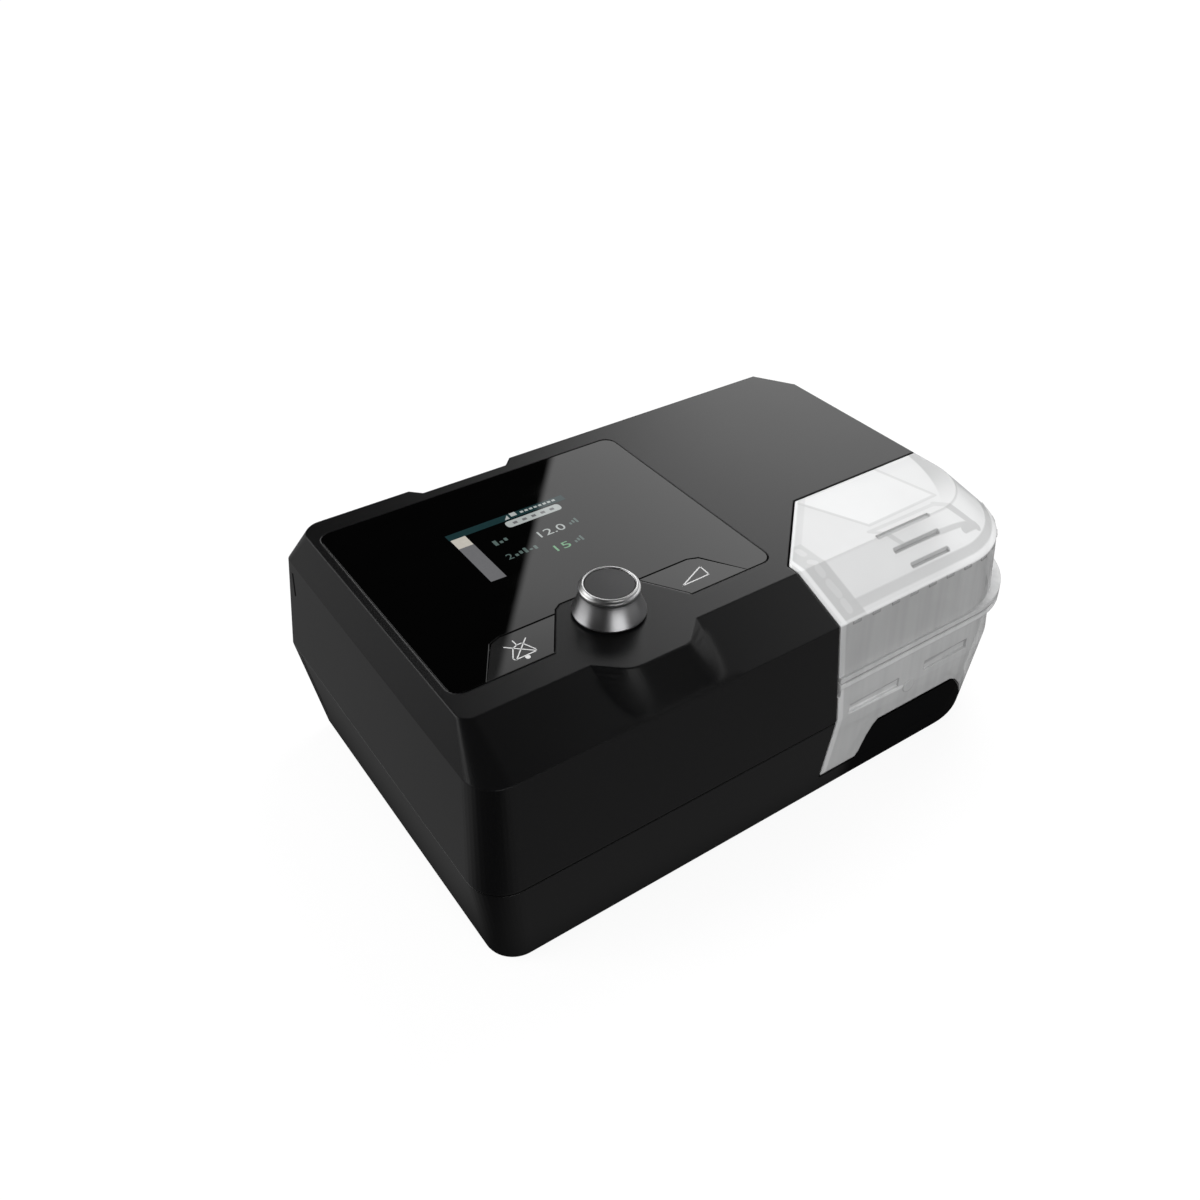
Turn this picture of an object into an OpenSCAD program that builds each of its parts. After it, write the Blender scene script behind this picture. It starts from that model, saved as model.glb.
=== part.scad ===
// A bedside breathing machine with a screen, a turn-and-press knob, two glass keys
// and a pull-out water tank in its front right corner.
//
// Every piece is placed from the deck's front left corner: x runs along the front,
// y to the back and z up, with z = 0 on the deck.  deck_frame() moves the piece so
// that the middle of the footprint is the origin and the table is z = 0.

/* [Housing] */
// Width of the flat deck
deck_w = 240; // [236:1:244]
// Depth of the flat deck
deck_d = 129; // [127:1:131]
// Height of the deck above the table
deck_h = 100; // [98:1:102]
// Thickness of the deck
deck_t = 4; // [3.6:0.1:4.4]
// Thickness of the moulded walls
wall = 2.5; // [2.2:0.1:2.8]
// Height of the sloping shoulder under the deck
shoulder_drop = 15; // [14:0.5:16]
// How far the front shoulder slopes out
shoulder_front = 19; // [18:0.5:20]
// How far the left shoulder slopes out
shoulder_left = 4.9; // [4.5:0.1:5.5]
// How far the right shoulder slopes out
shoulder_right = 15; // [14:0.5:16]
// How far the rear shoulder slopes out
shoulder_rear = 7; // [6:0.5:8]
// Depth of the parting line below the deck
parting_drop = 62; // [61:0.5:63]
// Depth of the housing's underside below the deck
under_drop = 97; // [96:0.5:98]

/* [Controls] */
// Centre of the knob, across
knob_x = 70; // [69.5:0.5:70.5]
// Centre of the knob, from the deck's front edge
knob_y = 20.3; // [20:0.1:20.6]
// Widest radius of the knob's skirt
knob_r = 13.3; // [13:0.1:13.5]
// Height of the knob above the deck
knob_h = 12.2; // [12:0.1:12.4]
// Travel of the knob and of the keys when pressed
press_travel = 0.6; // [0.4:0.05:0.6]
// Thickness of the glass
glass_t = 1.8; // [1.6:0.1:2]
// Gap round each glass key
key_gap = 0.45; // [0.3:0.05:0.5]

/* [Water tank] */
// Depth of the bay from the deck's front edge to its rear wall
bay_y = 37; // [36.5:0.1:37.5]
// Gap between the tank and its bay
tank_gap = 0.7; // [0.5:0.1:0.8]
// Depth of the seam between lid and tub below the deck
seam_drop = 42.3; // [41:0.1:43]
// Thickness of the tank's walls
tank_wall = 2.2; // [2:0.1:2.4]
// How far the rims stand out at the front of the seam
rim_out = 1; // [0.8:0.1:1.2]
// How far the rims reach to the right of the deck
rim_right = 21; // [20.6:0.1:21.2]
// Height of the air ports below the deck
port_drop = 24; // [23.5:0.1:24.5]

/* [Air path] */
// Centre of the blower, across
blower_x = 72; // [71:0.5:73]
// Centre of the blower, from the deck's front edge
blower_y = 84; // [83.5:0.5:84.5]
// Number of impeller blades
blade_count = 11; // [7:1:13]
// Outer radius of the air outlet, the 22 mm hose size
outlet_r = 11; // [11:0.1:11]

/* [Hidden] */
$fn = 48;

eps = 0.01;
part_left = 5.6;
part_right = 20.5;
part_front = 20.6;
part_rear = 13.3;

// A level of the housing: z, left, right, front, rear, and the radii front left, front right, rear left
deck_level = [0, 0, deck_w, 0, deck_d, 5, 24, 8];
shoulder_level = [-shoulder_drop, -shoulder_left, deck_w + shoulder_right, -shoulder_front,
                  deck_d + shoulder_rear, 12, 38, 4.5];
parting_level = [-parting_drop, -part_left, deck_w + part_right, -part_front,
                 deck_d + part_rear, 14, 42, 2];
under_level = [-under_drop, 0, deck_w + 13, -18.9, deck_d - 0.5, 11, 41, 2.5];

// The rims at the seam hold the front and the right, the parting line the left and the rear
seam_front = shoulder_front + (part_front - shoulder_front) * (seam_drop - shoulder_drop)
             / (parting_drop - shoulder_drop);
foremost = -seam_front - rim_out;
rim_level = [-seam_drop, -shoulder_left, deck_w + rim_right, foremost, deck_d + shoulder_rear, 12, 37, 8];
middle_x = (deck_w + rim_right - part_left) / 2;
middle_y = (deck_d + part_rear + foremost) / 2;

groove = 0.6;
glass_gap = 0.25;
panel_x = 71;
outlet_x = 70.5;
knob_neck_r = 10.5;
chamfer_x = 11;
chamfer_y = 17;
key_y = 20.6;
left_key_x = 36;
right_key_x = 106;
board_z = -11;
control_z = -12;
screen_box = [[45, 58], [98, 97]];
port_x = [190, 226];
rib_from = 152;
rib_to = 214;
rib_pitch = 2.6;
duct_y = 54;
duct_z = -46.5;
duct_rear_y = 112;
tub_bottom = -89;
water_floor = -70.7;
plate_top = -73.3;
pedestal_top = -75.6;
bay_bottom = -90.2;
alcove_x = [47, 94];
alcove_y = 124.7;
alcove_floor = -58;
slope_angle = 180 + atan2(under_drop - parting_drop, deck_d + part_rear - under_level[4]);
mount_angles = [20, 165, 262];
screw_places = [[9, -9], [131, -9], [9, 100], [128, 80], [160, 88], [241, 70]];
foot_places = [[22, -3], [232, -1], [22, 98], [230, 98]];
board_posts = [[18, 42], [114, 42], [18, 94], [114, 94]];
control_posts = [[21, 33], [121, 33], [58, 5], [84, 5]];
power_place = [118, 140.3, -46];
card_place = [-4.5, 129.3, -25.4];

module deck_frame() translate([-middle_x, -middle_y, deck_h]) children();

// ---- outlines -------------------------------------------------------------

function arc(c, r, from, to, steps) =
    [for (i = [0:steps]) c + r * [cos(from + (to - from) * i / steps),
                                  sin(from + (to - from) * i / steps)]];

function outline(lv) = concat(
    arc([lv[1] + lv[5], lv[3] + lv[5]], lv[5], 180, 270, 12),
    arc([lv[2] - lv[6], lv[3] + lv[6]], lv[6], 270, 360, 20),
    [[lv[2], lv[4] - chamfer_y], [lv[2] - chamfer_x, lv[4]]],
    arc([lv[1] + lv[7], lv[4] - lv[7]], lv[7], 90, 180, 8));

// A level moved in by g on every side and to height z
function inset(lv, g, z) =
    [z, lv[1] + g, lv[2] - g, lv[3] + g, lv[4] - g, lv[5] - g, lv[6] - g, max(lv[7] - g, 1)];

// How far in the inner deck edge lies, so that a shoulder sloping out by o keeps its wall
function inner_edge(o, w, t) =
    w * norm([o, shoulder_drop]) / shoulder_drop - t * o / shoulder_drop;

function inner_deck(w, t) = [-t, inner_edge(shoulder_left, w, t),
    deck_w - inner_edge(shoulder_right, w, t), inner_edge(shoulder_front, w, t),
    deck_d - inner_edge(shoulder_rear, w, t), 4, 22, 6];

module slab(lv) translate([0, 0, lv[0] - eps]) linear_extrude(eps) polygon(outline(lv));

// A solid through rings of points, from the highest down, each anticlockwise from above
module loft(rings) {
    n = len(rings[0]);
    last = (len(rings) - 1) * n;
    polyhedron(points = [for (r = rings) each r], convexity = 4, faces = concat(
        [[for (i = [n - 1:-1:0]) i]],
        [for (k = [0:n:last - n]) for (i = [0:n - 1]) let (j = (i + 1) % n)
            each [[k + i, k + j, k + n + j], [k + i, k + n + j, k + n + i]]],
        [[for (i = [0:n - 1]) last + i]]));
}

// The bend from a towards b round the corner c, which starts and ends r away from it
function bend(a, c, b, r) = let (p = c + r * (a - c) / norm(a - c), q = c + r * (b - c) / norm(b - c))
    [for (t = [0:0.2:1]) (1 - t) * (1 - t) * p + 2 * t * (1 - t) * c + t * t * q];

// The outer form of the whole body, grown by g
module body_form(g = 0) hull() {
    slab(inset(deck_level, -g, 0));
    slab(inset(shoulder_level, -g, -shoulder_drop));
    slab(inset(parting_level, -g, -parting_drop));
    slab(inset(under_level, -g, -under_drop + eps));
}

// The space inside walls of thickness w under a deck of thickness t, down to z = low
module body_hollow(w, t, low) hull() {
    slab(inner_deck(w, t));
    slab(inset(shoulder_level, w, -shoulder_drop - w * 0.4));
    slab(inset(parting_level, w, -parting_drop));
    slab(inset(under_level, w, low));
}

module band(low, high) translate([-40, -60, low]) cube([340, 240, high - low]);

// The tank's bay grown by g: a section along y, cut off by the bay's plan
module tank_space(g) intersection() {
    translate([0, 90, 0]) rotate([90, 0, 0]) linear_extrude(180) polygon([
        [139.6 - g, 20], [139.6 - g, 0], [145 - g, -shoulder_drop], [148.5 - g, -61],
        [144.2 - g, bay_bottom - 3 * max(g, 0)],
        [300, bay_bottom - 3 * max(g, 0)], [300, 20]]);
    translate([0, 0, -110]) linear_extrude(140) polygon([
        [100, -60], [300, -60], [300, bay_y + g], [171.4 - 0.414 * g, bay_y + g],
        [100, -34.4 + 1.414 * g]]);
}

// The alcove at the rear that holds the air outlet, grown by g
module alcove(g) translate([0, 0, alcove_floor - g]) linear_extrude(100) polygon([
    [alcove_x[0] - g, 180], [alcove_x[0] - g, alcove_y + 4.2 - 0.4 * g],
    [alcove_x[0] + 4.2 - 0.4 * g, alcove_y - g], [alcove_x[1] - 4.2 + 0.4 * g, alcove_y - g],
    [alcove_x[1] + g, alcove_y + 4.2 - 0.4 * g], [alcove_x[1] + g, 180]]);

// The frame of the sloping rear wall: y down the slope, z outwards
module slope_frame() translate([0, deck_d + part_rear, -parting_drop])
    rotate([slope_angle, 0, 0]) children();

module posts(places, r, low, high) for (p = places)
    translate([p[0], p[1], low]) cylinder(r = r, h = high - low);

module tube_y(x, z, r, from, to)
    translate([x, from, z]) rotate([-90, 0, 0]) cylinder(r = r, h = to - from);

module tube_x(y, z, r, from, to)
    translate([from, y, z]) rotate([0, 90, 0]) cylinder(r = r, h = to - from);

// ---- glass, keys ----------------------------------------------------------

module round_rect(x0, y0, x1, y1, r) polygon(concat(
    arc([x0 + r, y0 + r], r, 180, 270, 5), arc([x1 - r, y0 + r], r, 270, 360, 5),
    arc([x1 - r, y1 - r], r, 0, 90, 5), arc([x0 + r, y1 - r], r, 90, 180, 5)));

// The area round the knob that the glass leaves free, grown by g
module knob_bay(g) polygon([[42 - g, 0], [42 - g, 12.5], [54.5 - g, 31.5], [57.5, 33.4 + g],
    [84.5, 33.4 + g], [87.5 + g, 31.5], [100 + g, 12.5], [100 + g, 0]]);

module left_key_area(g) polygon([[16 - g, 12 - g], [58, 12 - g], [58, 29.2 + g],
    [30.6, 29.2 + g], [26.6 - g, 27.6 + g]]);

module key_area(side, g) {
    if (side < 0) left_key_area(g);
    else translate([2 * panel_x, 0]) mirror([1, 0]) left_key_area(g);
}

module glass_area(g) difference() {
    round_rect(3.5 - g, 12 - g, 138.5 + g, 119.5 + g, 5);
    knob_bay(-g);
}

module screen_glass() color([0.02, 0.02, 0.025]) deck_frame()
    translate([0, 0, -glass_t]) linear_extrude(glass_t) difference() {
        glass_area(0);
        key_area(-1, key_gap);
        key_area(1, key_gap);
    }

module key_cap(side) translate([0, 0, -glass_t]) linear_extrude(glass_t) intersection() {
    key_area(side, 0);
    glass_area(0);
}

module key_carrier(x) translate([x, key_y, 0]) {
    translate([0, 0, -glass_t - 0.7]) cylinder(r = 5, h = 0.7);
    translate([0, 0, -8.3]) cylinder(r = 2.6, h = 8.3 - glass_t);
    translate([0, 0, -deck_t - 1.3]) cylinder(r = 4.2, h = 1.1);
}

module tact_switch(x) translate([x, key_y, control_z]) {
    translate([-3, -3, 0]) cube([6, 6, 2.4]);
    cylinder(r = 1.7, h = 3);
    for (dx = [-4, 3]) for (dy = [-2.5, 1.5]) translate([dx, dy, 0]) cube([1, 1, 0.6]);
}

module left_button() color([0.02, 0.02, 0.025]) deck_frame() key_cap(-1);
module right_button() color([0.02, 0.02, 0.025]) deck_frame() key_cap(1);
module left_carrier() color("dimgray") deck_frame() key_carrier(left_key_x);
module right_carrier() color("dimgray") deck_frame() key_carrier(right_key_x);
module left_switch() color("silver") deck_frame() tact_switch(left_key_x);
module right_switch() color("silver") deck_frame() tact_switch(right_key_x);

// ---- housing --------------------------------------------------------------

// One level of the platform, t of the way down the shoulder.  Its flanks start on the slope and
// turn into the front face, which meets the shoulder's foot where t is 1.
function platform_ring(t) = let (
    z = -t * (shoulder_drop + 0.3),
    slope = -t * shoulder_front + 0.4,
    face = -9.3 - t * (shoulder_front - 9.3),
    left = [47.9 + 2.8 * t, slope],
    left_corner = [59 + 3 * t, face],
    right_corner = [82.7 + 5.7 * t, face],
    right = [93.2 + 2.2 * t, slope])
    [for (p = concat([left + [0, 3], left], bend(left, left_corner, right_corner, 4),
                     bend(left_corner, right_corner, right, 2.5), [right, right + [0, 3]])) [p[0], p[1], z]];

// The platform in front of the knob, which runs out over the sloping shoulder
module knob_platform() loft([for (t = [0:0.125:1]) platform_ring(t)]);

module deck_openings() {
    translate([0, 0, -glass_t]) linear_extrude(10) glass_area(glass_gap);
    for (side = [-1, 1]) translate([0, 0, -3.2]) linear_extrude(10) intersection() {
        key_area(side, 0.2);
        glass_area(glass_gap);
    }
    translate([screen_box[0][0] - 0.3, screen_box[0][1] - 0.3, -10])
        cube([screen_box[1][0] - screen_box[0][0] + 0.6, screen_box[1][1] - screen_box[0][1] + 0.6, 12]);
    translate([knob_x, knob_y, -10]) cylinder(r = 4.9, h = 20);
    for (x = [left_key_x, right_key_x]) translate([x, key_y, -10]) cylinder(r = 2.75, h = 10);
}

module rear_openings() {
    tube_y(outlet_x, -port_drop, 9.1, alcove_y - 6, alcove_y + 4);
    translate([power_place[0] - 6.6, 130, power_place[2] - 5.6]) cube([13.2, 20, 11.2]);
    translate([-12, card_place[1] - 0.7, card_place[2] - 5.8]) cube([16, 1.4, 11.6]);
}

module upper_shell() color([0.09, 0.09, 0.1]) deck_frame() intersection() {
    band(-parting_drop + groove / 2, 1);
    difference() {
        union() {
            body_form();
            knob_platform();
        }
        difference() {
            body_hollow(wall, deck_t, -under_drop);
            tank_space(wall);
            alcove(wall);
            posts(screw_places, 4, -parting_drop, 0);
            posts(board_posts, 3, board_z, 0);
            posts(control_posts, 2.5, control_z, 0);
        }
        tank_space(0);
        alcove(0);
        deck_openings();
        rear_openings();
        for (x = port_x) tube_y(x, -port_drop, 8, bay_y - 5, bay_y + 5);
        posts(screw_places, 1.25, -parting_drop - 1, -50);
    }
}

// The tub straddles this ridge, which carries the heater; grown by g
module pedestal_section(g) polygon([[162.8 - g, -99], [162.8 - g, -90], [165.2 - g, -87],
    [168 - g, -80], [171 - g, -75.2 + 0.4 * g], [173.4 - 0.5 * g, -73.1 + g],
    [215.3 + 0.5 * g, -73.1 + g], [219 + 0.4 * g, -75.2 + 0.4 * g], [224.2 + g, -81 + g],
    [229 + g, -90], [229 + g, -99]]);

module pedestal() intersection() {
    translate([0, bay_y + 1, 0]) rotate([90, 0, 0]) linear_extrude(bay_y + 20.2)
        pedestal_section(-0.8);
    band(-99, pedestal_top);
}

// The block behind the sloping rear wall that the air filter sits in
module filter_block() slope_frame() translate([1, 2.5, -12.5]) cube([58, 33, 16]);

// The recess of the filter cover, open to the left, the filter's pocket and its air slots
module filter_recess() slope_frame() {
    translate([-14, 4.7, -2.2]) cube([70.3, 28.6, 20]);
    translate([-14, 4.7, -9.3]) cube([17, 28.6, 20]);
    translate([6, 8.5, -10.3]) cube([46.5, 21.5, 12]);
    for (i = [0:5]) translate([8.3 + i * 7.3, 10.5, -14]) cube([4.5, 17.5, 6]);
}

module base_shell() color([0.09, 0.09, 0.1]) deck_frame() difference() {
    intersection() {
        body_form();
        band(-110, -parting_drop - groove / 2);
    }
    difference() {
        body_hollow(wall, deck_t, -under_drop + 3);
        tank_space(wall);
        posts(screw_places, 4, -99, -parting_drop - groove / 2);
        at_mounts(-99) cylinder(r = 4, h = 37);
        filter_block();
    }
    difference() {
        tank_space(0);
        pedestal();
    }
    filter_recess();
    for (p = screw_places) translate([p[0], p[1], -under_drop - 1]) {
        cylinder(r = 1.7, h = 60);
        cylinder(r = 3.4, h = 4);
    }
    for (p = foot_places) translate([p[0], p[1], -under_drop - 1]) cylinder(r = 6.1, h = 2);
}

module rubber_feet() color([0.12, 0.12, 0.12]) deck_frame() for (p = foot_places)
    translate([p[0], p[1], -deck_h]) {
        cylinder(r1 = 5.2, r2 = 6, h = 1.2, $fn = 40);
        translate([0, 0, 1.2]) cylinder(r = 6, h = deck_h - under_drop - 0.2);
    }

module case_screws() color("silver") deck_frame() for (p = screw_places)
    translate([p[0], p[1], -under_drop + 0.4]) difference() {
        union() {
            cylinder(r = 3, h = 2.6);
            cylinder(r = 1.2, h = 44);
        }
        for (a = [0, 60, 120]) rotate([0, 0, a]) translate([-1.4, -0.35, -1]) cube([2.8, 0.7, 2.2]);
    }

// ---- knob -----------------------------------------------------------------

module at_knob() deck_frame() translate([knob_x, knob_y, 0]) children();

module knob_collar() color([0.05, 0.05, 0.05]) at_knob() rotate_extrude(convexity = 4)
    polygon([[5, 0], [11.6, 0], [11.6, 1.2], [11.3, 1.5], [5, 1.5]]);

// The skirt narrows to its neck, with a band, a fine groove and a bright rim above
module knob_skirt() color([0.55, 0.55, 0.56]) at_knob() rotate_extrude(convexity = 6)
    polygon(concat(
        [[3.05, 2.4], [12, 2.4], [12, 0.8], [knob_r - 0.15, 0.8], [knob_r, 0.95]],
        [for (t = [0:0.125:1]) [knob_neck_r + (knob_r - knob_neck_r) * pow(1 - t, 1.25), 1.4 + (knob_h - 4.3) * t]],
        [[10.9, knob_h - 2.5], [10.95, knob_h - 1.2], [10.6, knob_h - 0.8],
         [10.15, knob_h - 0.75], [10.1, knob_h - 0.3], [9.8, knob_h], [9.2, knob_h],
         [9.05, knob_h - 0.2], [9.05, knob_h - 1.3], [3.05, knob_h - 1.3]]));

module knob_disc() color([0.42, 0.42, 0.43]) at_knob() rotate_extrude()
    polygon([[0, knob_h - 1.3], [8.95, knob_h - 1.3], [8.95, knob_h - 0.45],
             [8.7, knob_h - 0.25], [0, knob_h - 0.2]]);

module knob_shaft() color("silver") at_knob() difference() {
    translate([0, 0, -15.9]) cylinder(r = 3, h = 15.9 + knob_h - 1.3);
    translate([1.6, -4, 2.2]) cube([4, 8, 20]);
}

module encoder_plunger() color([0.85, 0.8, 0.6]) at_knob()
    translate([0, 0, -18.5]) cylinder(r = 2.6, h = 2.6);

module encoder_body() color([0.3, 0.3, 0.32]) at_knob() difference() {
    union() {
        translate([-7, -7, -21]) cube([14, 14, 21 + control_z - 1.6]);
        translate([0, 0, -14]) cylinder(r = 4.5, h = 12);
    }
    translate([0, 0, -15.9 - press_travel - 0.1]) cylinder(r = 3.05, h = 30);
    translate([0, 0, -18.5 - press_travel - 0.2]) cylinder(r = 2.65, h = 10);
}

// ---- electronics ----------------------------------------------------------

module display_module() color([0.1, 0.12, 0.14]) deck_frame() {
    translate([screen_box[0][0], screen_box[0][1], -6.4])
        cube([screen_box[1][0] - screen_box[0][0], screen_box[1][1] - screen_box[0][1], 6.4 - glass_t]);
    translate([screen_box[0][0] + 4, screen_box[0][1] + 3, -7.8]) cube([20, 8, 1.4]);
}

module main_board() color([0.05, 0.3, 0.15]) deck_frame() {
    translate([0, 0, board_z - 1.6]) linear_extrude(1.6) round_rect(14, 38, 118, 98, 3);
    translate([40, 52, board_z - 3.2]) cube([14, 14, 1.6]);
    translate([62, 50, board_z - 3]) cube([10, 12, 1.4]);
    translate([84, 56, board_z - 6]) cylinder(r = 6, h = 4.4);
    for (i = [0:3]) translate([26 + 9 * i, 84, board_z - 5.6]) cylinder(r = 3, h = 4);
    translate([96, 78, board_z - 7]) cube([16, 8, 5.4]);
    for (i = [0:1]) translate([20, 50 + 14 * i, board_z - 6.5]) cube([6, 10, 4.9]);
}

module control_board() color([0.05, 0.3, 0.15]) deck_frame() difference() {
    translate([0, 0, control_z - 1.6]) linear_extrude(1.6) round_rect(18, 2, 124, 35.5, 2);
    translate([knob_x, knob_y, control_z - 3]) cylinder(r = 4.8, h = 5);
}

module card_socket() color([0.2, 0.2, 0.2]) deck_frame() translate(card_place) difference() {
    translate([3.1, -2, -7.5]) cube([16, 4, 15]);
    translate([2, -0.6, -5.65]) cube([15, 1.2, 11.3]);
}

module memory_card() color([0.1, 0.2, 0.5]) deck_frame() translate(card_place) difference() {
    translate([0.2, -0.5, -5.5]) cube([15, 1, 11]);
    translate([12, -1, 4]) rotate([0, 45, 0]) cube([6, 2, 6]);
}

module power_inlet() color([0.07, 0.07, 0.07]) deck_frame() translate(power_place) difference() {
    union() {
        translate([-6.3, -14, -5.3]) cube([12.6, 14, 10.6]);
        translate([-7.6, -5.6, -6.6]) cube([15.2, 1.5, 13.2]);
    }
    tube_y(0, 0, 3, -9, 1);
}

// ---- air path -------------------------------------------------------------

function volute_r(a) = 30 + 8 * (a + 90) / 360;

module volute_area(g) {
    translate([blower_x, blower_y]) polygon([for (a = [-90:9:270])
        (volute_r(a) + g) * [cos(a), sin(a)]]);
    translate([blower_x, blower_y - volute_r(270) - g]) square([46 + g, 16 + 2 * g]);
}

// The blower's three fixing points, just outside its spiral wall
module at_mounts(z) for (a = mount_angles)
    translate([blower_x + (volute_r(a) + 5) * cos(a), blower_y + (volute_r(a) + 5) * sin(a), z]) children();

module blower_volute() color([0.75, 0.75, 0.72]) deck_frame() difference() {
    union() {
        translate([0, 0, -56]) linear_extrude(18.5) volute_area(2);
        tube_x(duct_y, duct_z, 8.5, blower_x + 40, blower_x + 56);
        at_mounts(-56) cylinder(r = 5.5, h = 3);
    }
    translate([0, 0, -54]) linear_extrude(20) volute_area(0);
    tube_x(duct_y, duct_z, 7, blower_x + 30, blower_x + 60);
    translate([blower_x, blower_y, -60]) cylinder(r = 16, h = 10);
    at_mounts(-57) cylinder(r = 1.6, h = 6);
}

module volute_cover() color([0.75, 0.75, 0.72]) deck_frame() {
    translate([0, 0, -37.5]) linear_extrude(1.8) difference() {
        volute_area(2);
        translate([blower_x, blower_y]) circle(r = 13);
    }
    translate([blower_x, blower_y, -39.5]) rotate_extrude(convexity = 4)
        polygon([[13, 0], [14.5, 0], [14.5, 3.8], [13, 3.8]]);
}

module blower_motor() color([0.35, 0.35, 0.37]) deck_frame() translate([blower_x, blower_y, 0]) difference() {
    union() {
        translate([0, 0, -80]) cylinder(r = 15, h = 24);
        translate([0, 0, -58.2]) cylinder(r = 20, h = 2.1);
        translate([0, 0, -56.5]) cylinder(r = 5, h = 3);
    }
    translate([0, 0, -79]) cylinder(r = 1.55, h = 40);
}

module motor_mounts() color([0.15, 0.15, 0.15]) deck_frame() at_mounts(-62)
    rotate_extrude() polygon([[0, 0], [5.5, 0], [5.5, 2], [4.3, 3], [5.5, 4], [5.5, 6], [0, 6]]);

// One backward-curved blade: an arc of constant thickness from the eye to the rim
module blade() linear_extrude(9) difference() {
    translate([9, -14]) circle(r = 19.2);
    translate([9, -14]) circle(r = 18.1);
    translate([-40, -60]) square([80, 58]);
    translate([-40, -10]) square([44, 60]);
}

module impeller() color([0.9, 0.9, 0.88]) deck_frame() translate([blower_x, blower_y, -52.4]) difference() {
    union() {
        cylinder(r = 27, h = 1);
        cylinder(r = 5, h = 8);
        intersection() {
            for (i = [0:blade_count - 1]) rotate([0, 0, i * 360 / blade_count]) blade();
            difference() {
                cylinder(r = 26.6, h = 9);
                translate([0, 0, 1]) cylinder(r = 8.5, h = 10);
            }
        }
    }
    translate([0, 0, -1]) cylinder(r = 1.5, h = 20);
}

module rotor_shaft() color("silver") deck_frame()
    translate([blower_x, blower_y, -78.5]) cylinder(r = 1.49, h = 36);

module supply_duct() color([0.2, 0.2, 0.22]) deck_frame() difference() {
    union() {
        tube_x(duct_y, duct_z, 10, blower_x + 48.5, port_x[0]);
        translate([port_x[0], duct_y, duct_z]) sphere(r = 10);
        translate([port_x[0], duct_y, duct_z]) cylinder(r = 10, h = -duct_z - port_drop);
        translate([port_x[0], duct_y, -port_drop]) sphere(r = 10);
        tube_y(port_x[0], -port_drop, 10, bay_y + wall + 0.3, duct_y);
    }
    tube_x(duct_y, duct_z, 8.6, blower_x + 40, port_x[0]);
    translate([port_x[0], duct_y, duct_z]) cylinder(r = 8.6, h = -duct_z - port_drop);
    tube_y(port_x[0], -port_drop, 8.6, bay_y, duct_y);
}

module return_duct() color([0.2, 0.2, 0.22]) deck_frame() difference() {
    union() {
        tube_y(port_x[1], -port_drop, 9, bay_y + wall + 0.3, duct_rear_y);
        translate([port_x[1], duct_rear_y, -port_drop]) sphere(r = 9);
        tube_x(duct_rear_y, -port_drop, 9, outlet_x, port_x[1]);
        translate([outlet_x, duct_rear_y, -port_drop]) sphere(r = 9);
        tube_y(outlet_x, -port_drop, 9, duct_rear_y, alcove_y - 0.1);
    }
    tube_y(port_x[1], -port_drop, 7.5, bay_y, duct_rear_y);
    tube_x(duct_rear_y, -port_drop, 7.5, outlet_x, port_x[1]);
    tube_y(outlet_x, -port_drop, 7.5, duct_rear_y, alcove_y + 1);
}

module outlet_port() color([0.12, 0.12, 0.13]) deck_frame()
    translate([outlet_x, alcove_y, -port_drop]) rotate([-90, 0, 0]) rotate_extrude(convexity = 4)
        polygon([[9.3, 0], [14, 0], [14, 2], [outlet_r, 2], [outlet_r, 16],
                 [outlet_r - 0.6, 16.8], [9.3, 16.8]]);

module dock_seals() color([0.3, 0.3, 0.3]) deck_frame() for (x = port_x)
    translate([x, bay_y - 0.2, -port_drop]) rotate([-90, 0, 0]) rotate_extrude(convexity = 4)
        polygon([[6.5, 0], [7.9, 0], [7.9, wall + 0.4], [6.5, wall + 0.4]]);

module inlet_filter() color([0.85, 0.85, 0.8]) deck_frame() slope_frame()
    translate([6.3, 8.8, -10.3]) cube([45.9, 20.9, 6.6]);

// The cover fills the recess with 0.3 mm to spare; its slots run out on the left edge
module filter_cover() color([0.08, 0.08, 0.09]) deck_frame() difference() {
    intersection() {
        body_form();
        slope_frame() union() {
            translate([-12, 5, -1.8]) cube([68, 28, 5]);
            translate([-12, 5, -8]) cube([14.7, 28, 11]);
        }
    }
    body_form(-2.2);
    slope_frame() for (i = [0:6]) translate([0, 7.4 + i * 3.5, 0]) {
        translate([5, 0, -6]) cube([46, 1.8, 10]);
        translate([-12, 0, -1.2]) cube([20, 1.8, 4]);
    }
    slope_frame() for (d = [3.4, 6.2]) translate([-12, 8, -d]) cube([13, 21, 1.1]);
}

module acoustic_foam() color([0.25, 0.25, 0.27]) deck_frame()
    translate([16, -6, -under_drop + 3.1]) difference() {
        cube([42, 84, 9]);
        for (i = [0:5]) translate([-1, 10 + i * 13, 6]) cube([44, 4, 5]);
    }

// ---- heater and tank ------------------------------------------------------

heater_box = [[176, -11], [212, 26]];

module heater_pad() color([0.8, 0.3, 0.2]) deck_frame() translate([heater_box[0][0], heater_box[0][1], pedestal_top])
    cube([heater_box[1][0] - heater_box[0][0], heater_box[1][1] - heater_box[0][1], 0.5]);

module heater_plate() color([0.7, 0.7, 0.72]) deck_frame()
    translate([0, 0, pedestal_top + 0.5]) linear_extrude(plate_top - pedestal_top - 0.5)
        round_rect(heater_box[0][0], heater_box[0][1], heater_box[1][0], heater_box[1][1], 4);

module tank_plate() color([0.7, 0.7, 0.72]) deck_frame() {
    translate([0, 0, plate_top]) linear_extrude(water_floor - plate_top)
        round_rect(heater_box[0][0] + 0.5, heater_box[0][1] + 0.5, heater_box[1][0] - 0.5, heater_box[1][1] - 0.5, 4);
    translate([0, 0, water_floor]) linear_extrude(1)
        round_rect(heater_box[0][0] - 3, heater_box[0][1] - 3, heater_box[1][0] + 3, heater_box[1][1] + 3, 6);
}

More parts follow.
